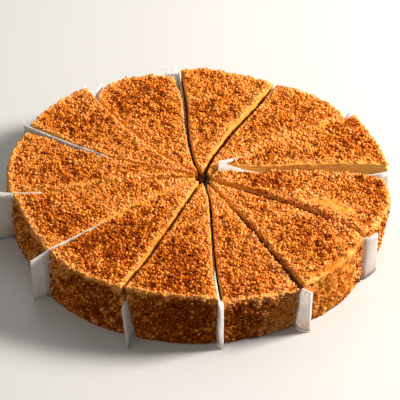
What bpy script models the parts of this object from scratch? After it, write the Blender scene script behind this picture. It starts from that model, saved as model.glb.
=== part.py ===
"""A round layered honey cake under a coat of crumbs, cut into twelve slices that still stand together.

A folded paper divider wraps the tip of each slice: its two legs run along the slice's two cuts and stick
out past the rim. Lengths in the tables are millimetres in plan, seen from above, with the cake's own
middle at (0, 0) and the front at -Y. The finished cake stands on z = 0 with its footprint centred.
"""

import math
import random
from collections import namedtuple

import bmesh
import bpy
from mathutils import Vector
from mathutils.geometry import barycentric_transform

MM = 0.001

# The crumb coat, as far as the solids carry it
TOP_ROWS = 21  # rows of bumps from a slice's tip to its rim
WALL_ROWS = 8  # rows of bumps up the outer wall
TOP_RELIEF = 0.8
WALL_RELIEF = 0.8
BUMP_DRIFT = 1.3
RIM_ROUND = 0.6
CUT_EDGE_DROP = 0.3

# The paper dividers
PAPER_THICKNESS = 0.25
PAPER_LIFT = 0.5
PAPER_HEIGHT = 34.0
LEG_SPACING = 0.6  # between the middles of the two papers in one cut
LEG_SAG = 0.09  # the most that a straight span strays from the smooth curve
LEG_LONGEST_SPAN = 24.0
FLAP_SPANS = 4
DIP_ENDS = (84.0, 106.0)  # where along a leg a dipped top edge rises again
SHAVED_FROM = 0.83  # the part of a cut from which a shaved corner leaves it

# Where the cuts meet, and where the third and fourth cuts part from their common stretch
HUB = (2.5, 0.5)
FORK = (11.0, 10.0)
ON_THE_WAY_TO_THE_FORK = (7.0, 5.6)

# A paper flap past the rim: its length along the top, how far it turns (counterclockwise is positive,
# degrees), how far its outer top corner stands to the left of its outer bottom corner, looking outwards,
# how far beyond that corner, and how far above the rest of the strip
Flap = namedtuple("Flap", "length turn lean reach rise", defaults=(0.0, 0.0, 0.0))

# A cut: its middle line from the inside out, half its width at the start, the middle and the rim, where
# its two papers lie in it (-1 against the slice before, 1 against the slice after), the radius where their
# flaps begin, the two flaps, how far the foot of the cut stands to its left at the rim, how much higher than
# elsewhere the papers stand there, and how far their top edges dip short of the rim
Cut = namedtuple(
    "Cut", "route half_gaps hug flaps_from flap_before flap_after slant lift dip", defaults=(0.0, 0.0, 5.0)
)

CUTS = [
    Cut([HUB, (-4, 19), (-9, 50), (-12, 88), (-17, 120.5)], (0.95, 1.2, 2.1), 0, 123, Flap(13.25, 48), Flap(13.75, 5, -5)),
    Cut([HUB, (7.5, 20), (22.5, 56), (35, 79.5), (49.5, 110)], (0.95, 1.9, 1.5), 0.4, 119, Flap(2, 0), Flap(2, 0)),
    Cut([FORK, (16.5, 14.5), (30, 25.5), (54, 45.5), (80, 62), (102, 77)], (0.95, 0.95, 1.6), 0, 124, Flap(5.5, 23, 0, 0, 3.5), Flap(5.5, 13, 0, 0, 3.5), 0, 1),
    Cut([FORK, (18, 10.6), (45, 11), (80, 12.6), (124, 13)], (1.4, 2.4, 5.6), 0.95, 121, Flap(18.75, 78, 0, -4, -3), Flap(21, 76, 0, -4, -3), 0, 4.5, 7),
    Cut([HUB, (25, -8.5), (50, -19.5), (76, -33.5), (107, -56.5)], (0.95, 2.1, 1.2), 0, 119.5, Flap(11.25, 85, -1.3, -3.4), Flap(12.25, 82, -1.3, -3.4)),
    Cut([HUB, (18, -23), (37, -54.5), (57, -90.5), (67.5, -109)], (0.95, 1.3, 1.7), 0.5, 126, Flap(7.75, 29, -2.5, 0.8), Flap(7.25, 28, -2.5, 0.8)),
    Cut([HUB, (7.5, -25), (9.8, -60), (12.8, -100), (16, -124)], (0.95, 1.0, 2.3), 0.6, 124, Flap(4, 39, 0.7, -2.8), Flap(0.8, 0), 0, 1.5),
    Cut([HUB, (-4, -18.5), (-16.5, -51), (-30, -85.5), (-45, -117.3)], (0.95, 1.3, 1.7), 0, 124, Flap(8.5, 35, -3, -8), Flap(9, 34, -3, -8), 8, -8),
    Cut([HUB, (-20, -17), (-50.5, -44), (-72, -64.5), (-92.5, -83.5)], (0.95, 0.95, 1.0), 0, 124, Flap(5, -4, 0, 1.9, -3), Flap(13.75, -4, 1.2, 1.9, -3), 0, 3, 1),
    Cut([HUB, (-40, -5.5), (-60, -10.5), (-80, -17.5), (-100, -23), (-121.5, -26)], (0.95, 0.95, 1.0), 0, 124, Flap(21.5, -3, -5, 0, 2), Flap(18.25, -4, -4, 0, 2), 0, 2.5),
    Cut([HUB, (-30, 8.5), (-55, 15.8), (-80, 26.3), (-101, 38), (-113.5, 45.5)], (0.95, 0.95, 1.5), 0, 127.5, Flap(9.75, -50, 0, 0, -2), Flap(8.75, -54, 0, 0, -2), 0, 3.5, 0),
    Cut([HUB, (-27, 25.5), (-49.5, 52), (-70, 81), (-80, 98)], (0.95, 1.3, 1.6), 0, 115, Flap(18.5, -6, 0, 0, 2), Flap(20.75, -52, 0, 0, 1.5)),
]

# A divider's fold: its height, how far it stands ahead of the slice's tip, towards the meeting of the two
# cuts, and how far out along the slice's first and second cut the paper's top edge reaches its usual height
Fold = namedtuple("Fold", "height reach settles")
LOW_FOLD = Fold(23.0, 0.75, (70.0, 70.0))

# A slice: the radius of its rim at the cut before it, halfway and at the cut after it, its height at the
# tip and at those two corners, how far its tip stands off the point where its two cuts meet, how far the
# foot of its rim stands inside the top at those three places, how much of each corner is shaved off, and
# the fold of its divider
Slice = namedtuple("Slice", "rim heights tip_gap foot shaved fold", defaults=((0, 0, 0), (0, 0), LOW_FOLD))

SLICES = [
    Slice((128.0, 127.5, 124.0), (37.0, 37.5, 37.5), 6.5),
    Slice((123.0, 128.0, 124.5), (37.0, 37.0, 37.0), 5.0),
    Slice((131.5, 127.5, 127.0), (38.5, 37.8, 40.0), 8.5, fold=Fold(41.5, 6.5, (45.0, 30.0))),
    Slice((121.5, 126.5, 119.0), (37.0, 37.2, 38.5), 5.0, (3, 4, 5), (3, 0)),
    Slice((121.0, 124.0, 126.5), (35.8, 36.5, 37.0), 5.0, (0, 0.5, 3), (0, 0)),
    Slice((126.0, 123.5, 124.5), (36.5, 33.5, 33.5), 6.0, (4, 0.5, 0), (0, 0)),
    Slice((124.5, 124.0, 124.5), (37.5, 38.0, 38.0), 5.5),
    Slice((124.5, 127.0, 124.5), (37.5, 38.0, 38.0), 4.5),
    Slice((125.5, 121.5, 123.5), (37.5, 38.0, 38.0), 4.5, (3, 1, 0), (0, 0)),
    Slice((124.5, 127.0, 126.0), (37.5, 38.0, 37.0), 4.5, (0, 0, 0), (0, 2)),
    Slice((126.5, 127.0, 127.0), (37.5, 39.0, 39.0), 4.5),
    Slice((124.0, 126.5, 121.0), (37.0, 36.0, 36.5), 5.5, (0, 0, 0), (11, 3)),
]

CRUMB_COLOUR = (0.46, 0.17, 0.035, 1.0)
PAPER_COLOUR = (0.82, 0.80, 0.76, 1.0)


def mix(a, b, part):
    return a + (b - a) * part


def across_three(values, part):
    """The value at a part from 0 to 1, on straight runs between three values."""
    first, middle, last = values
    return mix(first, middle, part * 2) if part < 0.5 else mix(middle, last, part * 2 - 1)


def smooth_route(points, spans=12):
    """A smooth line through all the points, as short straight steps."""
    points = [Vector(point) for point in points]
    guides = [points[0] * 2 - points[1], *points, points[-1] * 2 - points[-2]]
    line = [points[0]]
    for before, start, end, after in zip(guides, guides[1:], guides[2:], guides[3:]):
        for step in range(1, spans + 1):
            t = step / spans
            line.append(
                (
                    start * 2
                    + (end - before) * t
                    + (before * 2 - start * 5 + end * 4 - after) * t**2
                    + (start * 3 - before - end * 3 + after) * t**3
                )
                / 2
            )
    return line


def offset_line(line, distance_at):
    """The line moved sideways, to its left where the distance is positive."""
    moved = []
    for index, point in enumerate(line):
        ahead = line[min(index + 1, len(line) - 1)] - line[max(index - 1, 0)]
        left = Vector((-ahead.y, ahead.x)).normalized()
        moved.append(point + left * distance_at(index / (len(line) - 1)))
    return moved


def reached(line, rim):
    """The line cut off where it reaches a radius, after going straight on for a while."""
    line = [*line, line[-1] + (line[-1] - line[-2]).normalized() * 20]
    end = next(index for index, point in enumerate(line) if point.length > rim)
    a, b = line[end - 1], line[end]
    return [*line[:end], a.lerp(b, (rim - a.length) / (b.length - a.length))]


def started(line, start):
    """The line without its first stretch of a length."""
    for index, (a, b) in enumerate(zip(line, line[1:])):
        span = (b - a).length
        if span > start:
            return [a.lerp(b, start / span), *line[index + 1 :]]
        start -= span


def evenly_spaced(line, spans):
    """Points at equal lengths along the line."""
    lengths = [0.0]
    for a, b in zip(line, line[1:]):
        lengths.append(lengths[-1] + (b - a).length)
    points = [line[0]]
    index = 0
    for step in range(1, spans):
        wanted = lengths[-1] * step / spans
        while lengths[index + 1] < wanted:
            index += 1
        part = (wanted - lengths[index]) / (lengths[index + 1] - lengths[index])
        points.append(line[index].lerp(line[index + 1], part))
    return [*points, line[-1]]


def few_spans(line, sag, longest):
    """As few of the line's points as keep within the sag, chosen from its far end inwards."""
    kept = [line[-1]]
    anchor = len(line) - 1
    for index in range(len(line) - 2, -1, -1):
        chord = line[index] - line[anchor]
        across = Vector((-chord.y, chord.x)).normalized()
        strays = max((abs((point - line[anchor]).dot(across)) for point in line[index + 1 : anchor]), default=0)
        if strays > sag or chord.length > longest:
            anchor = index + 1
            kept.append(line[anchor])
    return [line[0], *reversed(kept)]


def route_of(cut_index, slice_index):
    """A cut's middle line as one slice follows it: the slices beside the fork run through it from the hub."""
    points = CUTS[cut_index].route
    beside_fork = (cut_index, slice_index) in ((2, 1), (3, 3))
    return smooth_route([HUB, ON_THE_WAY_TO_THE_FORK, *points] if beside_fork else points)


def side_gap(cut_index, shaved):
    """How far a slice's cut face stands off the cut's middle line, all along it."""

    def gap(part):
        off_corner = max(0.0, (part - SHAVED_FROM) / (1 - SHAVED_FROM))
        return across_three(CUTS[cut_index].half_gaps, part) + shaved * off_corner

    return gap


def paper_offset(cut_index, place):
    """How far left of a cut's middle line a paper lies: place is -1 for the slice before, 1 for after."""
    cut = CUTS[cut_index]

    def offset(part):
        spare = across_three(cut.half_gaps, part) - LEG_SPACING / 2 - PAPER_THICKNESS - 0.2
        middle = cut.hug * max(spare, 0.0)
        return -(middle + place * LEG_SPACING / 2)

    return offset


def slice_sides(index):
    """The plan of a slice's two cut faces, from tip to rim: the one before it and the one after it."""
    before, after = index, (index + 1) % len(CUTS)
    shape = SLICES[index]
    gap_before, gap_after = side_gap(before, shape.shaved[0]), side_gap(after, shape.shaved[1])
    side_before = offset_line(route_of(before, index), lambda part: -gap_before(part))
    side_after = offset_line(route_of(after, index), gap_after)
    return (
        evenly_spaced(started(reached(side_before, shape.rim[0]), shape.tip_gap), TOP_ROWS),
        evenly_spaced(started(reached(side_after, shape.rim[2]), shape.tip_gap), TOP_ROWS),
    )


def foot_shift(cut_index, side):
    """How far the foot of a cut stands off its top at the rim, in plan."""
    ahead = (side[-1] - side[-2]).normalized()
    return Vector((-ahead.y, ahead.x)) * CUTS[cut_index].slant


def slants_of(index, before, after):
    return foot_shift(index, before), foot_shift((index + 1) % len(CUTS), after)


def tip_of(index):
    before, after = slice_sides(index)
    return (before[0] + after[0]) / 2


def triangular_prism(rows, wall_rows):
    """A prism one high on the triangle of the tip and the two rim corners, its top a lattice of triangles."""
    form = bmesh.new()
    bmesh.ops.create_circle(form, cap_ends=True, segments=3, radius=1)
    corners = [vert.co.copy() for vert in form.verts]
    bmesh.ops.subdivide_edges(form, edges=form.edges[:], cuts=rows - 1, use_grid_fill=True)
    raised = bmesh.ops.extrude_face_region(form, geom=form.faces[:], use_keep_orig=True)
    top = [item for item in raised["geom"] if isinstance(item, bmesh.types.BMVert)]
    bmesh.ops.translate(form, vec=(0, 0, 1), verts=top)
    base = [face for face in form.faces if all(vert.co.z < 0.5 for vert in face.verts)]
    bmesh.ops.dissolve_faces(form, faces=base)
    middle_of_rim = (corners[1] + corners[2]) / 2
    outwards = middle_of_rim - corners[0]
    uprights = [
        edge
        for edge in form.edges
        if abs(edge.verts[0].co.z - edge.verts[1].co.z) > 0.5
        and (edge.verts[0].co - middle_of_rim).dot(outwards) > -1e-4
        - (edge.verts[0].co.z * outwards.z)
    ]
    bmesh.ops.subdivide_edges(form, edges=uprights, cuts=wall_rows - 1, use_grid_fill=True)
    return form, corners


def shape_slice(form, corners, index):
    """Moves the prism's points to a slice's real place, with the bumps of its crumb coat."""
    shape = SLICES[index]
    before, after = slice_sides(index)
    slants = slants_of(index, before, after)
    tip = tip_of(index)
    draw = random.Random(100 + index)
    unit = (Vector((0, 0, 0)), Vector((1, 0, 0)), Vector((0, 1, 0)))
    for vert in form.verts:
        level = vert.co.z
        weights = barycentric_transform(Vector((vert.co.x, vert.co.y, 0)), *corners, *unit)
        outward = min(max(weights.x + weights.y, 0.0), 1.0)
        row = round(outward * TOP_ROWS)
        across = weights.y / outward if row else 0.5
        on_cut = across < 0.01 or across > 0.99 or row == 0
        on_rim = row == TOP_ROWS
        on_top = level > 0.99

        start = before[row] if row else tip
        end = after[row] if row else tip
        place = start.lerp(end, across)
        radius = mix(start.length, end.length, across)
        if row:
            corner_mean = mix(shape.rim[0], shape.rim[2], across)
            swell = (shape.rim[1] - (shape.rim[0] + shape.rim[2]) / 2) * 4 * across * (1 - across)
            radius += swell * (radius / corner_mean) ** 2
        place *= radius / place.length
        height = mix(shape.heights[0], mix(shape.heights[1], shape.heights[2], across), outward)
        place += slants[0].lerp(slants[1], across) * outward * (1 - level)

        out = place.normalized()
        bump = draw.uniform(-1, 1)
        drift = Vector((draw.uniform(-1, 1), draw.uniform(-1, 1)))
        if on_top and not on_cut and not on_rim:
            spacing = (end - start).length / row
            place += drift * min(BUMP_DRIFT, spacing * 0.3)
        if on_top:
            height += bump * TOP_RELIEF
            if on_cut:
                height -= CUT_EDGE_DROP
            if on_rim:
                height -= RIM_ROUND
                place -= out * RIM_ROUND
        elif on_rim:
            place += out * bump * WALL_RELIEF * (0.4 if level < 0.01 else 1.0)
            along = (before[-1] - before[-2]).normalized().lerp((after[-1] - after[-2]).normalized(), across)
            place -= along * across_three(shape.foot, across) * (1 - level)
        vert.co = Vector((place.x, place.y, height * level))


def make_slice(index, material, collection):
    form, corners = triangular_prism(TOP_ROWS, WALL_ROWS)
    shape_slice(form, corners, index)
    form.normal_update()
    bmesh.ops.triangulate(form, faces=form.faces[:])
    bmesh.ops.recalc_face_normals(form, faces=form.faces[:])
    return add_object(form, f"slice_{index + 1:02d}", material, collection)


def flap_points(start, heading, flap):
    """The plan of a flap: it leaves the rim along the cut and turns less and less to its outer edge."""
    points = []
    point = start
    for span in range(FLAP_SPANS):
        left_over = 1 - (span + 0.5) / FLAP_SPANS
        angle = heading + math.radians(flap.turn) * (1 - left_over**4)
        point = point + Vector((math.cos(angle), math.sin(angle))) * (flap.length / FLAP_SPANS)
        points.append(point)
    return points


def leg_points(index, cut_index, place, flap):
    """One leg of a divider, from beside the slice's tip to the rim, and the flap beyond it."""
    line = offset_line(route_of(cut_index, index), paper_offset(cut_index, place))
    within = started(reached(line, CUTS[cut_index].flaps_from), SLICES[index].tip_gap)
    leg = few_spans(within, LEG_SAG, LEG_LONGEST_SPAN)
    ahead = leg[-1] - leg[-2]
    return leg, flap_points(leg[-1], math.atan2(ahead.y, ahead.x), flap)


def paper_height(fold, settles, cut, out):
    """How high a divider's top edge stands at a distance from its fold."""
    rising = min(max((out - DIP_ENDS[0]) / (DIP_ENDS[1] - DIP_ENDS[0]), 0.0), 1.0)
    settled = PAPER_HEIGHT + cut.lift - cut.dip * (1 - rising)
    return mix(fold.height, settled, min(out / settles, 1.0))


def make_paper(index, material, collection):
    """A strip of paper stood on edge, folded round the slice's tip."""
    following = (index + 1) % len(CUTS)
    leg_before, flap_before = leg_points(index, index, 1, CUTS[index].flap_after)
    leg_after, flap_after = leg_points(index, following, -1, CUTS[following].flap_before)
    tip = tip_of(index)
    across = (leg_after[0] - leg_before[0]).normalized()
    fold = SLICES[index].fold
    ahead = tip + (route_of(index, index)[0] - tip).normalized() * fold.reach
    bend = [ahead - across * 0.25, ahead + across * 0.25]
    route = [*reversed(leg_before + flap_before), *bend, *leg_after, *flap_after]
    first_leg = len(leg_before) + FLAP_SPANS
    slants = slants_of(index, leg_before, leg_after)

    form = bmesh.new()
    feet = [form.verts.new((point.x, point.y, PAPER_LIFT)) for point in route]
    edges = [form.edges.new(pair) for pair in zip(feet, feet[1:])]
    raised = bmesh.ops.extrude_edge_only(form, edges=edges)
    tops = [item for item in raised["geom"] if isinstance(item, bmesh.types.BMVert)]
    tops.sort(key=lambda top: min(range(len(route)), key=lambda at: (route[at] - top.co.xy).length))
    for step, (foot, top) in enumerate(zip(feet, tops)):
        on_first = step < first_leg
        cut = CUTS[index] if on_first else CUTS[following]
        flap = cut.flap_after if on_first else cut.flap_before
        out = (route[step] - ahead).length
        along = min(out / cut.flaps_from, 1.0)
        slant = slants[0 if on_first else 1].to_3d() * along
        foot.co += slant
        top.co.z = PAPER_LIFT + paper_height(fold, fold.settles[0 if on_first else 1], cut, out)
        top_share = 1 - top.co.z / SLICES[index].heights[1 if on_first else 2]
        on_flap = 1 - min(step, len(route) - 1 - step) / FLAP_SPANS
        if on_flap > 0:
            outwards = (route[step] - route[step + 1 if on_first else step - 1]).normalized()
            left = Vector((-outwards.y, outwards.x))
            top.co.z += flap.rise * on_flap
            foot.co -= (left * flap.lean + outwards * flap.reach).to_3d() * on_flap + slant * on_flap
        top.co += slant * top_share * (1 - max(on_flap, 0.0))
    paper = add_object(form, f"paper_{index + 1:02d}", material, collection)
    wall = paper.modifiers.new("sheet thickness", "SOLIDIFY")
    wall.thickness = PAPER_THICKNESS * MM
    wall.offset = 0.0
    wall.use_even_offset = True
    return paper


def add_object(form, name, material, collection):
    bmesh.ops.scale(form, vec=(MM, MM, MM), verts=form.verts[:])
    mesh = bpy.data.meshes.new(name)
    form.to_mesh(mesh)
    form.free()
    mesh.materials.append(material)
    made = bpy.data.objects.new(name, mesh)
    collection.objects.link(made)
    return made


def principled(name, colour, roughness):
    material = bpy.data.materials.new(name)
    material.use_nodes = True
    shader = material.node_tree.nodes["Principled BSDF"]
    shader.inputs["Base Color"].default_value = colour
    shader.inputs["Roughness"].default_value = roughness
    shader.inputs["Metallic"].default_value = 0.0
    return material


def centre_footprint(objects):
    """Moves the whole cake sideways so that the middle of its footprint is over the origin."""
    corners = [vert.co for made in objects for vert in made.data.vertices]
    middle = Vector(
        [(min(co[axis] for co in corners) + max(co[axis] for co in corners)) / 2 for axis in (0, 1)] + [0]
    )
    for made in objects:
        for vert in made.data.vertices:
            vert.co -= middle


def main():
    for old in list(bpy.data.objects):
        bpy.data.objects.remove(old, do_unlink=True)
    collection = bpy.data.collections.new("honey cake")
    bpy.context.scene.collection.children.link(collection)
    crumb = principled("honey crumb", CRUMB_COLOUR, 0.8)
    paper = principled("divider paper", PAPER_COLOUR, 0.7)
    made = [make_slice(index, crumb, collection) for index in range(len(SLICES))]
    made += [make_paper(index, paper, collection) for index in range(len(SLICES))]
    centre_footprint(made)


main()
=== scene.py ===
import math

import bpy
import numpy as np
from mathutils import Matrix, Vector, kdtree, noise


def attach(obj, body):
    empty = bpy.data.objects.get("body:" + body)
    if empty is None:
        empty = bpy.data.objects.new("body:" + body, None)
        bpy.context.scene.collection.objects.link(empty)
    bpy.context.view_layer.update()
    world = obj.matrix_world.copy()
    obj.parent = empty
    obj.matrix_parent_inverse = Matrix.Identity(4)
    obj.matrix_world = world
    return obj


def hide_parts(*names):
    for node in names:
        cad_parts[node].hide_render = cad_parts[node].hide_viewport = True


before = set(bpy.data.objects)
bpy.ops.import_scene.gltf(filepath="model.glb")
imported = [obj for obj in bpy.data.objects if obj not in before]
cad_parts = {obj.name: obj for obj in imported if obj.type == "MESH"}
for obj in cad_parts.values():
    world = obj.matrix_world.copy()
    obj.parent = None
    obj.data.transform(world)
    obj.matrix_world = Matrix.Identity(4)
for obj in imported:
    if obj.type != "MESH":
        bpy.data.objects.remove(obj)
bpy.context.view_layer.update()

MM = 0.001
SLICES = 12
CAKE_MIDDLE = Vector((5.5601, -1.5528, 0.0))  # where the twelve cuts' own middle stands, mm
SEED = 12

# The camera
CAMERA_AIM = Vector((1.1, -26.1, 37.2))  # from the cuts' middle, mm
CAMERA_TILT = math.radians(37.44)  # how far it looks down
CAMERA_ROLL = math.radians(2.15)
CAMERA_DISTANCE = 1.240  # m
CAMERA_LENS = 172.0
CAMERA_SENSOR = 36.0

# The skin under the crumbs, in mm
SKIN_GRID = 1.05  # the size of a slice's faces once its skin is made even
SKIN_SUNK = 0.2  # how far the skin moves in, to make room for the crumbs on it
RIM_RIDGE = 0.9  # how far the smooth ridge along the rim moves out
LUMP_SIZE = 5.0
LUMP_RELIEF = 2.5
GRAIN_SIZE = 1.9
GRAIN_RELIEF = 1.7
CUT_RELIEF = 0.5  # what the lumps have on the cut faces

# Where faces come to count as the top, by their height, and as the outer wall, by their radius, in metres
TOP_FROM = (0.020, 0.024)
WALL_FROM = (0.095, 0.105)

# The loose crumbs, with their sizes in mm
CRUMB_RADIUS = 0.72
CRUMB_RADIUS_SPREAD = 0.28
SMALLEST_CRUMB = 0.46
LARGEST_CRUMB = 1.35
SIZE_PATCHES = (13, 0.35)  # the size of patches of coarser and of finer crumbs, and by what part they differ
COARSE_CRUMB = 0.85  # the radius from which a crumb is a rounder lump
CRUMB_SHAPES = 6  # how many there are of the finer crumbs, and again of the coarse ones
OUT_OF_ROUND = 0.34  # how far a shape's points are moved, as a part of its radius
STRETCH = (0.72, 1.25)
BEDDED = (-0.25, 0.35)  # how far a crumb's middle stands over the skin, as a part of its radius
CRUMBS_PER_SQUARE_MM = 1.6  # tries, of which about a third find room
KEPT_OFF = (0.2, 1.05)  # how far crumbs keep off a closed cut and off others, as a part of their radius
KEPT_OFF_FROM = 98  # the radius from which they keep off closed cuts as they do off others
CLOSENESS = 0.66  # how near two crumbs' middles may come, as a part of their radii together
PALE_CRUMBS_STOP = (1.4, 2.5)  # how pale the coat is where crumbs get fewer, and where few are left
KIND_BY_SHADE = 3.8  # how strongly the pale kinds keep to pale places, and the dark ones to dark places
WALL_MIXES = 0.05  # how much of every kind there is anywhere on the outer wall
CRUMB_KINDS = {
    # the colour of its foot and of its crown, and how common the kind is on the top and on the outer wall
    # the darker foot and lighter crown are painted shade and painted light on each crumb, and the darker
    # kinds' larger share on the outer wall is partly painted shade there
    "crumbs_cream": ((0.74, 0.275, 0.024), (0.95, 0.418, 0.150), 0.05, 0.05),
    "crumbs_straw": ((0.66, 0.200, 0.010), (0.93, 0.382, 0.096), 0.17, 0.06),
    "crumbs_honey": ((0.56, 0.148, 0.005), (0.92, 0.353, 0.059), 0.27, 0.10),
    "crumbs_amber": ((0.42, 0.086, 0.002), (0.87, 0.292, 0.031), 0.25, 0.18),
    "crumbs_toast": ((0.27, 0.033, 0.001), (0.74, 0.200, 0.012), 0.16, 0.28),
    "crumbs_umber": ((0.11, 0.010, 0.001), (0.42, 0.080, 0.004), 0.08, 0.33),
}

# Where the coat is toasted darker (below 0) or stays paler, and where the front of the outer wall has
# painted shade (below 0) and painted light: x and y from the cuts' middle and the reach, in mm, and how much
TOAST_AND_PAINTED_LIGHT = (
    (-43, 92, 24, -0.42),
    (-1, 70, 22, -0.32),
    (95, 42, 24, -0.38),
    (40, 2, 20, -0.50),
    (72, -16, 7, 1.00),
    (81, -21, 7, 1.20),
    (90, -27, 7, 1.20),
    (99, -32, 7, 1.10),
    (64, 40, 9, 0.50),
    (117, -3, 11, -0.85),
    (84, -37, 6, -0.70),
    (68, -60, 24, -0.35),
    (94, -60, 11, 0.45),
    (92, -45, 7, 0.80),
    (94, -92, 22, 0.08),
    (34, -84, 22, -0.02),
    (-7, -86, 26, -0.64),
    (-45, -72, 26, -0.75),
    (-80, -62, 22, -0.50),
    (-92, 1, 22, -0.35),
    (-76, 54, 20, -0.42),
    # on the front of the outer wall: painted shade where it turns from the light, and painted light where it
    # faces it
    (-12, -128, 26, -1.25),
    (-60, -112, 18, -0.50),
    (33, -121, 13, -0.70),
    (60, -112, 16, 1.15),
    (-106, -70, 16, 0.45),
)

# Where the crumbs have come off and left smooth skin: x and y from the cuts' middle and the reach in mm
BALD = (
    (81, -21, 5),
    (89, -26, 6.5),
    (97, -31, 5.5),
    (90, -62, 4),
    (102, -57, 4),
    (102, -74, 12),
    (88, -90, 12),
    (76, -102, 10),
)

# A cut is given by the way that it runs out from the middle, in degrees counterclockwise of +X. These are
# the cuts whose sides nearly touch and the widest ones
CLOSED_CUTS = (37.0, 159.0, 193.0, 222.0)
WIDE_CUTS = (302.0, 333.0)
NEXT_TO_CUT = 11  # how many degrees to each side of a cut count as next to it
NARROW_TIPS = 40  # the radius within which slices are too narrow for that

# Rims, edges and cut faces, in mm and degrees
RIM_SHINES = 2.0  # how much paler the coat is along the rim, with paler crumbs and a painted highlight there
PLAIN_RIM = (5, 0.2)  # the slice whose rim is hardly paler and has hardly any painted highlight, and how much paler it is
EDGES_SHINE = -35.0  # the way that cut edges face where a painted highlight gives them more pale crumb and paler skin
MIDDLE_REACH = 32  # how far round the middle the coat is paler
EDGE_REACH = 4.2
RIM_REACH = 2.4
WALL_TOP = (0.026, 0.032)  # the heights between which the mottled outer wall ends, m
SPILL = (0.6, 2.8)  # how far down the cut faces the coat spills whole, and where it ends
WIDE_SPILL = 2.1  # how many times further down it spills at the widest cuts
PAINTED_LIGHT_CUT = (3, -84.0)  # the slice whose one cut face gets painted light, paler cream and biscuit on a face turned from the key light, and the way that face looks
BARE_STRIP = (24.0, 1.7)  # from what radius the edge of that face has lost its crumbs, and over what width
ROLLED_EDGES = ((4, 6.0, 44.0, 116.0), (5, 333.0, 97.0, 117.0))  # the slice, the cut and the radii
ROLLED_HEIGHT = 1.9  # how far those edges are pushed up
DUSTED = (1.2, 4.2)  # down to what depth loose crumb covers a cut face, and where it ends
LAYER_PAIR = 6.7  # a biscuit and its cream together
FIRST_LAYER = 0.6  # the depth at which the first pair begins

# The papers
PAPER_LETS_THROUGH = 0.68
SOFT_BENDS = 3  # the levels of subdivision
FLAPS_FROM = (0.118, 0.135)  # the radii between which a paper comes free of the slices, m
WAVES = (14, 0.08, 0.22)  # their length, their height in the cuts, and what is added to it past the rim, mm
SUNK_PAPER = (302.0, 84.0, 125.0, 0.27)  # the cut, the radii, and by what part its papers are lower there

# Each soft light: its turn counterclockwise of +X and its height in degrees, its distance and its width in
# metres, its power in watts and its colour
LIGHTS = {
    "key": (12, 31, 1.5, 0.40, 54.0, (1.0, 0.96, 0.90)),
    "back": (110, 50, 1.5, 0.8, 4.0, (1.0, 1.0, 1.0)),
    "fill": (200, 35, 1.6, 1.0, 2.5, (1.0, 1.0, 1.0)),
    "front": (275, 22, 1.6, 1.0, 2.0, (1.0, 0.95, 0.88)),
}
SKY = (1.0, 0.94, 0.87)
GROUND = (0.02, 0.02, 0.02)
SKY_STRENGTH = 0.20
FLOOR = (0.58, 0.57, 0.55)
FLOOR_SIZE = 6.0  # m


def deselect():
    bpy.ops.object.select_all(action="DESELECT")


def take_up(piece):
    """Makes a piece the one that the next operators act on."""
    deselect()
    piece.select_set(True)
    bpy.context.view_layer.objects.active = piece


def apply_all(piece):
    take_up(piece)
    for modifier in list(piece.modifiers):
        bpy.ops.object.modifier_apply(modifier=modifier.name)


def copy_of_node(node_name, name):
    """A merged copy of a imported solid."""
    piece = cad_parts[node_name].copy()
    piece.data = piece.data.copy()
    piece.name = name
    piece.data.name = name
    bpy.context.scene.collection.objects.link(piece)
    take_up(piece)
    bpy.ops.object.mode_set(mode="EDIT")
    bpy.ops.mesh.select_all(action="SELECT")
    bpy.ops.mesh.remove_doubles(threshold=0.00002)
    bpy.ops.object.mode_set(mode="OBJECT")
    return piece


def points_of(mesh):
    co = np.empty(len(mesh.vertices) * 3, np.float32)
    mesh.vertices.foreach_get("co", co)
    return co.reshape(-1, 3)


def normals_of(mesh):
    normals = np.empty(len(mesh.vertices) * 3, np.float32)
    mesh.vertex_normals.foreach_get("vector", normals)
    return normals.reshape(-1, 3)


def store(mesh, name, values):
    attribute = mesh.attributes.new(name, "FLOAT", "POINT")
    attribute.data.foreach_set("value", np.asarray(values, np.float32))


def smooth_step(low, high, values):
    """0 below low, 1 above high and smooth in between."""
    part = np.clip((values - low) / (high - low), 0, 1)
    return part * part * (3 - 2 * part)


def bell(distance, reach):
    """1 at no distance, about a third at the reach, and next to nothing at twice the reach."""
    return np.exp(-((distance / reach) ** 2))


def patch(spots, x, y, reach):
    """1 in the middle of a round patch in plan, fading out over its reach."""
    return np.exp(-(((spots - (x, y)) ** 2).sum(1) / reach**2))


def unevenness(spots, size):
    """Soft noise below and above 0, in blotches of a size given in the spots' own unit."""
    return np.array([noise.noise(Vector(spot) / size) for spot in spots])


def from_middle(points, unit=1.0):
    """Where points lie in plan, from the cuts' middle. They are in mm, or in metres when the unit is MM."""
    return points[:, :2] - np.array(CAKE_MIDDLE[:2]) * unit


def facing_out(points, normals):
    """How far points in metres are from the cuts' middle, and how much the surface looks away from it."""
    out = from_middle(points, MM)
    radius = np.linalg.norm(out, axis=1)
    return radius, (out * normals[:, :2]).sum(1) / np.maximum(radius, 1e-6)


# Camera


def place_camera():
    """Stands the camera where the cake's cuts, rim and paper flaps line up with how it is seen."""
    back = Vector((0, -math.cos(CAMERA_TILT), math.sin(CAMERA_TILT)))
    level_right = Vector((1, 0, 0))
    level_up = back.cross(level_right)
    right = level_right * math.cos(CAMERA_ROLL) + level_up * math.sin(CAMERA_ROLL)
    up = level_up * math.cos(CAMERA_ROLL) - level_right * math.sin(CAMERA_ROLL)
    spot = (CAMERA_AIM + CAKE_MIDDLE) * MM + back * CAMERA_DISTANCE
    data = bpy.data.cameras.new("camera")
    data.lens = CAMERA_LENS
    data.sensor_width = CAMERA_SENSOR
    camera = bpy.data.objects.new("camera", data)
    bpy.context.scene.collection.objects.link(camera)
    turned = Matrix((right, up, back)).transposed().to_4x4()
    camera.matrix_world = Matrix.Translation(spot) @ turned
    bpy.context.scene.camera = camera


# Materials


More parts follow.
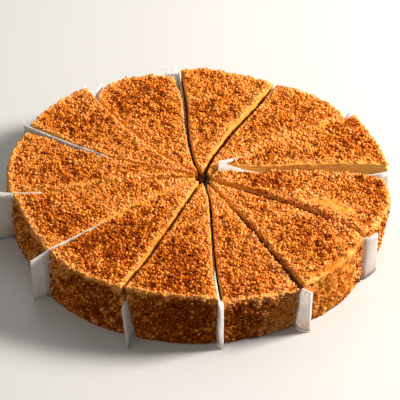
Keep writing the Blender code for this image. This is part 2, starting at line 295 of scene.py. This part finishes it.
class Dab:
    """An output of a material's nodes. Arithmetic on it adds Math nodes, and node() adds any other."""

    def __init__(self, tree, socket=None):
        self.tree = tree
        self.socket = socket

    def node(self, kind, settings=None, sockets=None, out=0):
        made = self.tree.nodes.new(kind)
        for name, value in (settings or {}).items():
            if name == "stops":
                ramp = made.color_ramp
                while len(ramp.elements) < len(value):
                    ramp.elements.new(0.5)
                for element, (place, colour) in zip(ramp.elements, value):
                    element.position = place
                    element.color = colour
            else:
                setattr(made, name, value)
        for name, value in (sockets or {}).items():
            if isinstance(value, Dab):
                self.tree.links.new(value.socket, made.inputs[name])
            else:
                made.inputs[name].default_value = value
        return Dab(self.tree, made.outputs[out])

    def maths(self, operation, first, second=0.0):
        return self.node("ShaderNodeMath", {"operation": operation}, {0: first, 1: second})

    def __add__(self, other):
        return self.maths("ADD", self, other)

    def __radd__(self, other):
        return self.maths("ADD", other, self)

    def __sub__(self, other):
        return self.maths("SUBTRACT", self, other)

    def __rsub__(self, other):
        return self.maths("SUBTRACT", other, self)

    def __mul__(self, other):
        return self.maths("MULTIPLY", self, other)

    def __rmul__(self, other):
        return self.maths("MULTIPLY", other, self)

    def __truediv__(self, other):
        return self.maths("DIVIDE", self, other)

    def __rtruediv__(self, other):
        return self.maths("DIVIDE", other, self)

    def between(self, low, high):
        """0 below low, 1 above high and smooth in between."""
        sockets = {"Value": self, "From Min": low, "From Max": high}
        return self.node("ShaderNodeMapRange", {"interpolation_type": "SMOOTHSTEP"}, sockets)

    def tint(self, low, high):
        """A colour between two, by this value."""
        sockets = {"Factor": self, 6: low, 7: high}
        return self.node("ShaderNodeMix", {"data_type": "RGBA"}, sockets, out=2)

    def times(self, colour):
        """This colour multiplied by another."""
        settings = {"data_type": "RGBA", "blend_type": "MULTIPLY"}
        return self.node("ShaderNodeMix", settings, {"Factor": 1.0, 6: self, 7: colour}, out=2)

    def stored(self, name):
        """A value that a piece's mesh stores at its points."""
        return self.node("ShaderNodeAttribute", {"attribute_name": name}, out=2)

    def speckle(self, scale, detail=2.0, roughness=0.5):
        """Noise from 0 to 1, with so many blotches to a metre."""
        sockets = {"Vector": self, "Scale": scale, "Detail": detail, "Roughness": roughness}
        return self.node("ShaderNodeTexNoise", None, sockets)

    def cells(self, scale):
        """How far each place is from the middle of its cell, with so many cells to a metre."""
        return self.node("ShaderNodeTexVoronoi", None, {"Vector": self, "Scale": scale})

    def bump(self, height_mm, strength=1.0):
        """A normal from this value as a height."""
        sockets = {"Height": self, "Distance": height_mm * MM, "Strength": strength}
        return self.node("ShaderNodeBump", None, sockets)


def new_material(name):
    """A material with an empty Principled shader, as (material, shader, its Object coordinates)."""
    material = bpy.data.materials.new(name)
    material.use_nodes = True
    tree = material.node_tree
    shader = tree.nodes["Principled BSDF"]
    place = Dab(tree).node("ShaderNodeTexCoord", out=3)
    return material, shader, place


def feed(shader, name, value):
    if isinstance(value, Dab):
        value.tree.links.new(value.socket, shader.inputs[name])
    else:
        shader.inputs[name].default_value = value


def opaque(colour):
    return (*colour, 1.0)


def cake_material():
    """Crumb-coated skin, and where a knife went through, biscuit and cream in turn, with painted shade in
    the skin's low places and on the cut faces, and painted light on one cut face.
    """
    material, shader, place = new_material("honey cake")
    grain = place.speckle(520.0, 3.0, 0.6)
    patches = place.speckle(60.0)
    pores = place.speckle(420.0, 4.0, 0.7)

    golden = (place.stored("pale") + patches * 0.8 - 0.4).between(-0.9, 1.0)
    # Painted shade: the skin is darker red-brown in its low places and golden on its raised ones, by the
    # stored height.
    shaded_pit = golden.tint(opaque((0.16, 0.012, 0.001)), opaque((0.62, 0.200, 0.013)))
    crown = golden.tint(opaque((0.62, 0.148, 0.005)), opaque((0.93, 0.370, 0.085)))
    skin = (place.stored("high") + grain * 0.7 - 0.35).between(-0.85, 0.05).tint(shaded_pit, crown)

    wander = place.speckle(45.0, 3.0, 0.6)
    level = place.stored("depth") + wander * 2.4 - 1.2
    in_pair = level.maths("FRACT", (level - FIRST_LAYER) / LAYER_PAIR)
    cream_mask = in_pair.between(0.03, 0.09) * (1.0 - in_pair.between(0.40, 0.47))
    # Partly painted shade: the cut faces' biscuit and cream are kept darker, for the narrow shaded gaps
    # between slices.
    biscuit = pores.between(0.30, 0.70).tint(opaque((0.24, 0.070, 0.007)), opaque((0.50, 0.20, 0.032)))
    cream = pores.between(0.25, 0.60).tint(opaque((0.50, 0.24, 0.055)), opaque((0.72, 0.42, 0.13)))
    # Painted light: paler biscuit, cream and dust for the one cut face that the key light doesn't reach.
    painted_light_biscuit = pores.between(0.30, 0.70).tint(opaque((0.94, 0.40, 0.060)), opaque((1.0, 0.56, 0.13)))
    painted_light_cream = pores.between(0.25, 0.60).tint(opaque((0.98, 0.48, 0.090)), opaque((1.0, 0.64, 0.19)))
    plain_dust = pores.between(0.30, 0.65).tint(opaque((0.50, 0.20, 0.014)), opaque((0.76, 0.34, 0.032)))
    painted_light_dust = pores.between(0.35, 0.62).tint(opaque((0.94, 0.34, 0.030)), opaque((1.0, 0.54, 0.12)))
    painted_light = place.stored("light_cut")
    layers = cream_mask.tint(painted_light.tint(biscuit, painted_light_biscuit), painted_light.tint(cream, painted_light_cream))
    inside = (1.0 - level.between(*DUSTED)).tint(layers, painted_light.tint(plain_dust, painted_light_dust))

    ragged = (place.stored("coat") + grain * 0.5 - 0.25).between(0.30, 0.55)
    feed(shader, "Base Color", ragged.tint(inside, skin))
    feed(shader, "Roughness", 0.72 + grain * 0.2)
    feed(shader, "Specular IOR Level", 0.06)
    rough = grain * 0.7 + pores * 0.3
    feed(shader, "Normal", rough.bump(0.7, 0.8))
    return material


def crumb_material(name, dark, light):
    material, shader, place = new_material(name)
    pores = place.speckle(1100.0, 3.0, 0.65)
    # The stored shade is painted shade towards each crumb's foot and painted light on its crown, with a
    # random tone per crumb.
    tone = (place.stored("shade") + pores * 0.4 - 0.2).between(0.0, 1.0)
    feed(shader, "Base Color", tone.tint(opaque(dark), opaque(light)))
    feed(shader, "Roughness", 0.50 + pores * 0.25)
    feed(shader, "Specular IOR Level", 0.06)
    feed(shader, "Normal", pores.bump(0.35, 0.7))
    return material


def paper_material():
    """Thin baking paper that lets some light through, with a little fat and a few crumbs' marks."""
    material, shader, place = new_material("divider paper")
    stretched = place.node("ShaderNodeMapping", None, {"Vector": place, "Scale": (1.0, 1.0, 0.35)})
    fibres = stretched.speckle(700.0, 4.0, 0.65)
    cloudy = place.speckle(70.0, 3.0)
    tone = (fibres * 0.6 + cloudy * 0.5).between(0.30, 0.80)
    clean = tone.tint(opaque((0.86, 0.84, 0.82)), opaque((0.97, 0.96, 0.95)))
    low = place.node("ShaderNodeSeparateXYZ", None, {"Vector": place}, out=2)
    fat = (1.0 - low.between(0.0, 0.016)) * cloudy.between(0.42, 0.66)
    spots = place.cells(260.0)
    marks = (1.0 - spots.between(0.05, 0.16)) * place.speckle(120.0).between(0.52, 0.62)
    stained = (fat * 0.35).tint(opaque((1.0, 1.0, 1.0)), opaque((0.72, 0.50, 0.26)))
    marked = (marks * 0.75).tint(opaque((1.0, 1.0, 1.0)), opaque((0.62, 0.34, 0.22)))
    sheet = clean.times(stained).times(marked)
    feed(shader, "Base Color", sheet)
    feed(shader, "Roughness", 0.55 + fibres * 0.2 - fat * 0.2)
    creases = (fibres * 0.5 + cloudy).bump(0.25, 0.35)
    feed(shader, "Normal", creases)
    lit_through = place.node("ShaderNodeBsdfTranslucent", None, {"Color": sheet, "Normal": creases})
    surface = Dab(place.tree, shader.outputs["BSDF"])
    mixed = place.node("ShaderNodeMixShader", None, {0: PAPER_LETS_THROUGH, 1: surface, 2: lit_through})
    place.tree.links.new(mixed.socket, place.tree.nodes["Material Output"].inputs["Surface"])
    return material


# Slices


def clouds(name, size_mm, depth):
    texture = bpy.data.textures.new(name, "CLOUDS")
    texture.noise_scale = size_mm * MM
    texture.noise_depth = depth
    return texture


def granules(name, size_mm):
    """Rounded grains side by side: 0 in the middle of each and more towards its edge."""
    texture = bpy.data.textures.new(name, "VORONOI")
    texture.noise_scale = size_mm * MM
    texture.distance_metric = "DISTANCE_SQUARED"
    return texture


def displaced(piece, texture, strength_mm, group, invert=False, middle=0.5):
    modifier = piece.modifiers.new("relief", "DISPLACE")
    modifier.texture = texture
    modifier.texture_coords = "LOCAL"
    modifier.strength = strength_mm * MM
    modifier.mid_level = middle
    modifier.vertex_group = group
    modifier.invert_vertex_group = invert


def painted_light_face(number, normals):
    """1 on the one cut face that gets painted light, paler cream and biscuit, and 0 elsewhere."""
    return smooth_step(0.3, 0.8, looking(normals, PAINTED_LIGHT_CUT[1])) * (number == PAINTED_LIGHT_CUT[0])


def beside(cuts, spots):
    """Where spots, in mm, are next to one of some cuts, but not near the middle."""
    out = from_middle(spots)
    way = np.degrees(np.arctan2(out[:, 1], out[:, 0])) % 360
    near = np.zeros(len(spots), bool)
    for cut in cuts:
        near |= np.abs((way - cut + 180) % 360 - 180) < NEXT_TO_CUT
    return near & (np.linalg.norm(out, axis=1) > NARROW_TIPS)


def coat_of(number, points, normals):
    """1 where the crumb coat lies, on the top and the outer wall, and less where it spills over a cut."""
    radius, outwards = facing_out(points, normals)
    on_top = smooth_step(0.35, 0.7, normals[:, 2]) * smooth_step(*TOP_FROM, points[:, 2])
    on_wall = smooth_step(0.45, 0.75, outwards) * smooth_step(*WALL_FROM, radius)
    depth = depth_of(points, normals) / np.where(beside(WIDE_CUTS, points / MM), WIDE_SPILL, 1.0)
    spilt = (1 - smooth_step(*SPILL, depth)) * (points[:, 2] > TOP_FROM[0])
    spilt *= 0.8 * ~beside(CLOSED_CUTS, points / MM) * (1 - painted_light_face(number, normals))
    return np.maximum(np.maximum(on_top, on_wall), spilt)


def depth_of(points, normals):
    """How far each point lies under the slice's top, in mm."""
    top = (normals[:, 2] > 0.8) & (points[:, 2] > 0.025)
    flat = np.c_[points[top, :2], np.ones(top.sum())]
    plane = np.linalg.lstsq(flat, points[top, 2], rcond=None)[0]
    return (np.c_[points[:, :2], np.ones(len(points))] @ plane - points[:, 2]) / MM


def sunk(piece, depth_mm, group):
    """Moves a piece's surface inwards all over a group, or outwards by a depth below 0."""
    modifier = piece.modifiers.new("sunk", "DISPLACE")
    modifier.strength = -depth_mm * MM
    modifier.mid_level = 0.0
    modifier.vertex_group = group


def tree_of(points):
    tree = kdtree.KDTree(len(points))
    for index, point in enumerate(points):
        tree.insert(point, index)
    tree.balance()
    return tree


def nearness(tree, spots):
    """How far each spot is from the nearest point of a tree, in mm, and which way that point lies."""
    nearest = np.array([tree.find(spot)[0] for spot in spots])
    way = nearest[:, :2] - spots[:, :2]
    far = np.linalg.norm(nearest - spots, axis=1)
    return far / MM, way / np.maximum(np.linalg.norm(way, axis=1), 1e-9)[:, None]


def looking(way, degrees):
    """1 where directions in plan point the given way, -1 where they point against it."""
    turn = math.radians(degrees)
    return way[:, 0] * math.cos(turn) + way[:, 1] * math.sin(turn)


class Coat:
    """Where a slice's crumb coat lies, where its cuts, edges and rim are, and how pale it is."""

    def __init__(self, number, points, normals):
        self.cover = coat_of(number, points, normals)
        steep = (normals[:, 2] > 0.30) & (normals[:, 2] < 0.75) & (points[:, 2] > TOP_FROM[1])
        radius, outwards = facing_out(points, normals)
        on_rim = outwards > 0.45
        self.cuts = tree_of(points[(self.cover < 0.4) & (points[:, 2] > 1 * MM)])
        self.edges = tree_of(points[steep & ~on_rim])
        self.rim = tree_of(points[steep & on_rim & (radius > WALL_FROM[1])])
        self.rim_shines = PLAIN_RIM[1] if number == PLAIN_RIM[0] else RIM_SHINES

    def pale(self, spots):
        """How pale the coat is: above 0 paler than most, and below 0 darker, toasted on the top and painted
        shade on the front of the outer wall. Painted highlights along the rim and on some cut edges add to
        it.
        """
        out = from_middle(spots / MM)
        near_middle = bell(np.linalg.norm(out, axis=1), MIDDLE_REACH)
        to_edge, edge_way = nearness(self.edges, spots)
        # Cut edges are paler, and a painted highlight makes those that face EDGES_SHINE paler still.
        shining = 0.45 + 0.75 * smooth_step(-0.2, 0.7, looking(edge_way, EDGES_SHINE))
        on_edge = bell(to_edge, EDGE_REACH) * (spots[:, 2] > WALL_TOP[0]) * shining
        on_rim = bell(nearness(self.rim, spots)[0], RIM_REACH)
        wide = unevenness(spots, 24 * MM)
        mottled = unevenness(spots, 5 * MM) * (0.8 + 0.8 * (1 - smooth_step(*WALL_TOP, spots[:, 2])))
        # The listed patches: toasting on the top, and painted shade and painted light on the front of the
        # outer wall.
        toast_and_painted_light = sum(much * patch(out, x, y, reach) for x, y, reach, much in TOAST_AND_PAINTED_LIGHT)
        by_place = on_edge + self.rim_shines * on_rim + 0.45 * near_middle
        return by_place + 0.45 * wide + mottled + toast_and_painted_light - 0.05


def bald(spots):
    """Up to 1 where crumbs are missing."""
    out = from_middle(spots / MM)
    missing = sum(patch(out, x, y, reach) for x, y, reach in BALD)
    return smooth_step(0.25, 0.75, missing + 0.45 * unevenness(spots, 4 * MM))


def rolled_edge(number, spots, to_edge):
    """Up to 1 along the stretches of cut edges whose crumbs are pushed up into a ridge."""
    far_out = np.linalg.norm(from_middle(spots / MM), axis=1)
    high = spots[:, 2] > 30 * MM
    rolled = np.zeros(len(spots))
    for slice_number, cut, begins, ends in ROLLED_EDGES:
        if slice_number == number:
            along = smooth_step(begins - 6, begins + 4, far_out)
            along = along * (1 - smooth_step(ends - 3, ends + 3, far_out))
            rolled += bell(to_edge, 2.2) * along * beside((cut,), spots / MM) * high
    return rolled


def refine(piece, chosen):
    """Splits the faces whose points are all chosen into four."""
    mesh = piece.data
    take_up(piece)
    bpy.ops.object.mode_set(mode="EDIT")
    bpy.ops.mesh.select_mode(type="VERT")
    bpy.ops.mesh.select_all(action="DESELECT")
    bpy.ops.object.mode_set(mode="OBJECT")
    mesh.vertices.foreach_set("select", chosen)
    bpy.ops.object.mode_set(mode="EDIT")
    bpy.ops.mesh.select_mode(type="FACE")
    bpy.ops.mesh.subdivide(number_cuts=1)
    bpy.ops.object.mode_set(mode="OBJECT")


def bare_strip(number, spots, to_cut, cut_way):
    """1 along the one cut edge that has lost its crumbs, and 0 elsewhere."""
    far_out = np.linalg.norm(from_middle(spots / MM), axis=1)
    begins, width = BARE_STRIP
    this_side = looking(cut_way, PAINTED_LIGHT_CUT[1]) > 0.7
    strip = (1 - smooth_step(width - 0.5, width + 0.5, to_cut)) * smooth_step(begins, begins + 12, far_out)
    return strip * this_side * (number == PAINTED_LIGHT_CUT[0])


def weigh(piece, name, weights):
    """A vertex group of weights, to a tenth."""
    group = piece.vertex_groups.new(name=name)
    steps = np.round(weights, 1)
    for step in np.unique(steps):
        group.add(np.nonzero(steps == step)[0].tolist(), float(step), "REPLACE")


def even_skin(number):
    """A slice's solid remade with small even faces, and with half as large ones where the coat lies."""
    piece = copy_of_node(f"slice_{number:02d}", f"cake_slice_{number:02d}")
    remesh = piece.modifiers.new("even skin", "REMESH")
    remesh.mode = "VOXEL"
    remesh.voxel_size = SKIN_GRID * MM
    remesh.use_smooth_shade = True
    apply_all(piece)
    refine(piece, coat_of(number, points_of(piece.data), normals_of(piece.data)) > 0.3)
    return piece


def raise_relief(piece, smooth, coat, to_edge, rolled, lumps, grains):
    """Gives a slice's even skin its grain, its ridges and its coarser cut faces."""
    to_rim = nearness(coat.rim, smooth)[0]
    calm = 0.35 * bell(to_rim, RIM_REACH) + 0.6 * bell(to_edge, 1.6) - 0.4 * rolled
    calm += 0.65 * bald(smooth)
    weigh(piece, "skin", coat.cover)
    weigh(piece, "grainy", coat.cover * (1 - np.minimum(calm, 0.8)))
    weigh(piece, "rim", bell(to_rim, 1.8))
    weigh(piece, "rolled", rolled)
    sunk(piece, SKIN_SUNK, "skin")
    sunk(piece, -RIM_RIDGE, "rim")
    sunk(piece, -ROLLED_HEIGHT, "rolled")
    displaced(piece, lumps, LUMP_RELIEF, "grainy")
    displaced(piece, grains, -GRAIN_RELIEF, "grainy", middle=0.0)
    displaced(piece, lumps, CUT_RELIEF, "skin", invert=True)
    apply_all(piece)


def make_slice(number, material, lumps, grains):
    piece = even_skin(number)
    smooth = points_of(piece.data)
    out = normals_of(piece.data)
    coat = Coat(number, smooth, out)
    to_edge = nearness(coat.edges, smooth)[0]
    rolled = rolled_edge(number, smooth, to_edge)
    raise_relief(piece, smooth, coat, to_edge, rolled, lumps, grains)
    mesh = piece.data
    points = points_of(mesh)
    points[:, 2] = np.maximum(points[:, 2], 0.0)
    mesh.vertices.foreach_set("co", points.ravel())
    mesh.update()
    # How far each point stands out of the even skin; the material uses this to paint shade into the low
    # places.
    store(mesh, "high", ((points - smooth) * out).sum(1) / MM)
    bare = bare_strip(number, smooth, *nearness(coat.cuts, smooth))
    # Painted light on the one cut face, and a paler bare strip along its top edge.
    store(mesh, "light_cut", np.maximum(painted_light_face(number, out), 0.35 * bare))
    store(mesh, "coat", np.minimum(coat.cover, 1 - bare))
    store(mesh, "depth", depth_of(points, normals_of(mesh)))
    store(mesh, "pale", coat.pale(smooth) + 0.6 * rolled)
    mesh.materials.clear()
    mesh.materials.append(material)
    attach(piece, "root")
    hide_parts(f"slice_{number:02d}")
    return piece, coat


# Crumbs


def crumb_shapes(kept_faces):
    """A few lumps knocked out of round, with a share of an icosahedron's faces, as points and faces."""
    shapes = []
    for seed in range(CRUMB_SHAPES):
        deselect()
        bpy.ops.mesh.primitive_ico_sphere_add(subdivisions=1, radius=1.0)
        lump = bpy.context.object
        bpy.ops.object.mode_set(mode="EDIT")
        bpy.ops.mesh.select_all(action="SELECT")
        bpy.ops.transform.vertex_random(offset=OUT_OF_ROUND, uniform=0.6, normal=0.4, seed=seed)
        bpy.ops.object.mode_set(mode="OBJECT")
        fewer = lump.modifiers.new("fewer faces", "DECIMATE")
        fewer.ratio = kept_faces
        fewer.use_collapse_triangulate = True
        apply_all(lump)
        points = points_of(lump.data)
        faces = np.array([face.vertices[:] for face in lump.data.polygons])
        shapes.append((points, faces))
        bpy.data.objects.remove(lump)
    return shapes


def kept_off(spots):
    """How far crumbs keep off the cut that each place is nearest to, as a part of a crumb's radius."""
    inside = np.linalg.norm(from_middle(spots), axis=1) < KEPT_OFF_FROM
    return np.where(beside(CLOSED_CUTS, spots) & inside, *KEPT_OFF)


def with_room(place, size):
    """The indices of the places that keep their crumbs, the largest first, none much inside another."""
    kept_place = np.empty((len(place), 3))
    kept_size = np.empty(len(place))
    kept = []
    for index in np.argsort(-size):
        count = len(kept)
        away = kept_place[:count] - place[index]
        room = (kept_size[:count] + size[index]) * CLOSENESS
        if count and ((away * away).sum(1) < room * room).any():
            continue
        kept_place[count] = place[index]
        kept_size[count] = size[index]
        kept.append(index)
    return np.array(kept)


def tried_places(piece, coat, draw):
    """Random places on a slice's coat in mm, which way is out, and how far the coat covers them."""
    mesh = piece.data
    mesh.calc_loop_triangles()
    corners = np.empty(len(mesh.loop_triangles) * 3, np.int32)
    mesh.loop_triangles.foreach_get("vertices", corners)
    corners = corners.reshape(-1, 3)
    corners = corners[coat.cover[corners].mean(1) > 0.5]
    points = points_of(mesh)
    a, b, c = (points[corners[:, side]] for side in range(3))
    across = np.cross(b - a, c - a)
    area = np.linalg.norm(across, axis=1) / 2
    tries = int(area.sum() / MM**2 * CRUMBS_PER_SQUARE_MM)
    chosen = draw.choice(len(area), tries, p=area / area.sum())
    u, v = draw.random(tries), draw.random(tries)
    u, v = np.where(u + v > 1, 1 - u, u), np.where(u + v > 1, 1 - v, v)
    place = (a[chosen] + (b[chosen] - a[chosen]) * u[:, None] + (c[chosen] - a[chosen]) * v[:, None]) / MM
    normal = across[chosen] / (2 * area[chosen, None])
    return place, normal, coat.cover[corners[chosen, 0]]


def tried_sizes(place, draw):
    """The radius of the crumb at each place."""
    patch_size, differs = SIZE_PATCHES
    size = np.exp(draw.normal(math.log(CRUMB_RADIUS), CRUMB_RADIUS_SPREAD, len(place)))
    size *= 1 + differs * unevenness(place, patch_size)
    return np.clip(size, SMALLEST_CRUMB, LARGEST_CRUMB)


def spots_on(number, piece, coat, draw):
    """Places for crumbs on a slice's coat: where, which way is out, how large, if on the wall, how pale."""
    place, normal, cover = tried_places(piece, coat, draw)
    size = tried_sizes(place, draw)
    tries = len(place)
    spots = place * MM
    pale = coat.pale(spots)
    on_rim = bell(nearness(coat.rim, spots)[0], 1.7)
    size *= 1 - 0.3 * on_rim
    to_cut, cut_way = nearness(coat.cuts, spots)
    free = (to_cut > size * kept_off(place)) & (place[:, 2] > size * 0.7)
    free &= beside(CLOSED_CUTS + WIDE_CUTS, place) | (nearness(coat.edges, spots)[0] > size * 0.8)
    free &= draw.random(tries) > 0.8 * on_rim
    free &= (bare_strip(number, spots, to_cut, cut_way) < 0.5) | (draw.random(tries) > 0.9)
    on_cut_face = (np.abs(normal[:, 2]) < 0.6) & (cover < 0.9)
    free &= ~on_cut_face | beside(WIDE_CUTS, place) | ((size < CRUMB_RADIUS) & (draw.random(tries) > 0.5))
    size = np.where(on_cut_face, size * 0.8, size)
    free &= draw.random(tries) > 0.95 * smooth_step(*PALE_CRUMBS_STOP, pale)
    free &= draw.random(tries) > 0.95 * bald(spots)
    free = np.nonzero(free)[0]
    kept = free[with_room(place[free], size[free])]
    return place[kept], normal[kept], size[kept], np.abs(normal[kept, 2]) < 0.5, pale[kept]


def turned_every_way(count, draw):
    """Random rotations, as matrices."""
    q = draw.normal(size=(count, 4))
    q /= np.linalg.norm(q, axis=1)[:, None]
    w, x, y, z = q.T
    return np.stack(
        [
            np.stack([1 - 2 * (y * y + z * z), 2 * (x * y - z * w), 2 * (x * z + y * w)], 1),
            np.stack([2 * (x * y + z * w), 1 - 2 * (x * x + z * z), 2 * (y * z - x * w)], 1),
            np.stack([2 * (x * z - y * w), 2 * (y * z + x * w), 1 - 2 * (x * x + y * y)], 1),
        ],
        1,
    )


def make_crumbs(name, place, normal, size, material, shapes, draw):
    """One piece of all the crumbs of a kind, each bedded in the skin and with its own cell in the UVs."""
    count = len(place)
    spin = turned_every_way(count, draw)
    stretch = draw.uniform(*STRETCH, (count, 1, 3))
    centre = place + normal * (size * draw.uniform(*BEDDED, count))[:, None]
    centre[:, 2] = np.maximum(centre[:, 2], size * 1.5)
    which = draw.integers(0, CRUMB_SHAPES, count) + np.where(size > COARSE_CRUMB, CRUMB_SHAPES, 0)
    shade = draw.random(count)
    cells_across = math.ceil(math.sqrt(count))
    cell = np.stack([np.arange(count) % cells_across, np.arange(count) // cells_across], 1)
    points, faces, shades, spots = [], [], [], []
    start = 0
    for index, (lump, lump_faces) in enumerate(shapes):
        mine = np.nonzero(which == index)[0]
        scaled = lump[None] * stretch[mine] * size[mine, None, None]
        placed = np.einsum("nij,nkj->nki", spin[mine], scaled) + centre[mine, None]
        steps = start + np.arange(len(mine)) * len(lump)
        points.append(placed.reshape(-1, 3))
        faces.append((lump_faces[None] + steps[:, None, None]).reshape(-1, 3))
        # Painted shade and light: each crumb is darker towards its foot, where it is bedded in the skin, and
        # lighter on its crown, with a random tone of its own.
        above = ((placed - centre[mine, None]) * normal[mine, None]).sum(2) / size[mine, None]
        shades.append((0.45 + 0.45 * above + 0.25 * (shade[mine, None] - 0.5)).ravel())
        inside_cell = lump[None, :, :2] / np.abs(lump[:, :2]).max() * 0.45 + 0.5
        spots.append(((cell[mine, None] + inside_cell) / cells_across).reshape(-1, 2))
        start += len(mine) * len(lump)
    points = np.concatenate(points) * MM
    faces = np.concatenate(faces)
    mesh = bpy.data.meshes.new(name)
    mesh.from_pydata(points, [], faces)
    mesh.update()
    store(mesh, "shade", np.concatenate(shades))
    layout = mesh.uv_layers.new(name="OFBake")
    layout.data.foreach_set("uv", np.concatenate(spots)[faces.ravel()].astype(np.float32).ravel())
    mesh.materials.append(material)
    mesh.shade_smooth()
    piece = bpy.data.objects.new(name, mesh)
    bpy.context.scene.collection.objects.link(piece)
    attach(piece, "root")
    print(name, count, "crumbs", len(faces), "faces")


def scatter_crumbs(slices):
    """All the loose crumbs, each of a kind that goes with how pale the coat is at its place."""
    draw = np.random.default_rng(SEED)
    shapes = crumb_shapes(0.5) + crumb_shapes(1.0)
    found = [spots_on(number, piece, coat, draw) for number, (piece, coat) in enumerate(slices, 1)]
    place, normal, size, wall, pale = (np.concatenate(parts) for parts in zip(*found))
    shares_top = np.array([kind[2] for kind in CRUMB_KINDS.values()])
    shares_wall = np.array([kind[3] for kind in CRUMB_KINDS.values()])
    shares = np.where(wall[:, None], shares_wall, shares_top)
    weights = np.linspace(1, -1, len(CRUMB_KINDS))
    # Paler kinds go to paler places, so the coat's painted highlights and painted shade carry into the
    # crumbs.
    shares = shares * np.exp(pale[:, None] * weights * KIND_BY_SHADE)
    shares /= shares.sum(1)[:, None]
    shares += WALL_MIXES * wall[:, None]
    shares /= shares.sum(1)[:, None]
    pick = (draw.random(len(place))[:, None] > shares.cumsum(1)).sum(1)
    for index, (name, (dark, light, _, _)) in enumerate(CRUMB_KINDS.items()):
        mine = pick == index
        material = crumb_material(name.replace("_", " "), dark, light)
        make_crumbs(name, place[mine], normal[mine], size[mine], material, shapes, draw)


# Papers


def make_paper(number, material):
    noise.seed_set(SEED)  # or noise_vector would differ from run to run
    piece = copy_of_node(f"paper_{number:02d}", f"divider_{number:02d}")
    mesh = piece.data
    take_up(piece)
    bpy.ops.object.mode_set(mode="EDIT")
    bpy.ops.mesh.select_all(action="SELECT")
    bpy.ops.mesh.tris_convert_to_quads(face_threshold=0.3, shape_threshold=3.1)
    bpy.ops.mesh.select_all(action="DESELECT")
    bpy.ops.mesh.edges_select_sharp(sharpness=math.radians(80))
    bpy.ops.transform.edge_crease(value=1.0)
    bpy.ops.object.mode_set(mode="OBJECT")
    soft = piece.modifiers.new("soft bends", "SUBSURF")
    soft.levels = SOFT_BENDS
    soft.render_levels = SOFT_BENDS
    apply_all(piece)
    points = points_of(mesh)
    out = np.linalg.norm(from_middle(points, MM), axis=1)
    loose = smooth_step(*FLAPS_FROM, out)
    cut, begins, ends, lower = SUNK_PAPER
    inside_cut = smooth_step(begins, begins + 12, out / MM)
    inside_cut = inside_cut * (1 - smooth_step(ends - 3, ends + 2, out / MM))
    points[:, 2] *= 1 - lower * inside_cut * beside((cut,), points / MM)
    length, height, more_height = WAVES
    for index, point in enumerate(points):
        wave = noise.noise_vector(Vector(point) / (length * MM))
        point += np.array(wave) * MM * (height + more_height * loose[index]) * (1, 1, 0.3)
    mesh.vertices.foreach_set("co", points.ravel())
    mesh.update()
    for face in mesh.polygons:
        face.use_smooth = True
    mesh.materials.clear()
    mesh.materials.append(material)
    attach(piece, "root")
    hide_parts(f"paper_{number:02d}")


# Floor and light


def lay_floor():
    deselect()
    bpy.ops.mesh.primitive_plane_add(size=FLOOR_SIZE, location=(0, 0, 0))
    floor = bpy.context.object
    floor.name = "floor"
    material, shader, _ = new_material("pale floor")
    feed(shader, "Base Color", opaque(FLOOR))
    feed(shader, "Roughness", 0.8)
    floor.data.materials.append(material)
    floor.visible_diffuse = False


def soft_light(name, turn, height, distance, size, energy, colour):
    """A square soft box that faces the cake."""
    turn = math.radians(turn)
    height = math.radians(height)
    way = Vector((math.cos(turn) * math.cos(height), math.sin(turn) * math.cos(height), math.sin(height)))
    data = bpy.data.lights.new(name, "AREA")
    data.shape = "SQUARE"
    data.size = size
    data.energy = energy
    data.color = colour
    light = bpy.data.objects.new(name, data)
    bpy.context.scene.collection.objects.link(light)
    light.location = way * distance
    light.rotation_euler = way.to_track_quat("Z", "Y").to_euler()


def light_studio():
    world = bpy.data.worlds.new("studio")
    bpy.context.scene.world = world
    world.use_nodes = True
    tree = world.node_tree
    way = Dab(tree).node("ShaderNodeTexCoord", out=0)
    height = way.node("ShaderNodeSeparateXYZ", None, {"Vector": way}, out=2)
    above = height.between(-0.02, 0.05)
    colour = above.tint(opaque(GROUND), opaque(SKY))
    background = tree.nodes["Background"]
    tree.links.new(colour.socket, background.inputs["Color"])
    background.inputs["Strength"].default_value = SKY_STRENGTH
    for name, settings in LIGHTS.items():
        soft_light(name, *settings)
    bpy.context.scene.view_settings.view_transform = "Standard"


# The cake


def main():
    deselect()
    place_camera()
    cake = cake_material()
    lumps = clouds("lumps", LUMP_SIZE, 1)
    grains = granules("grains", GRAIN_SIZE)
    slices = [make_slice(number, cake, lumps, grains) for number in range(1, SLICES + 1)]
    scatter_crumbs(slices)
    paper = paper_material()
    for number in range(1, SLICES + 1):
        make_paper(number, paper)
    lay_floor()
    light_studio()


main()
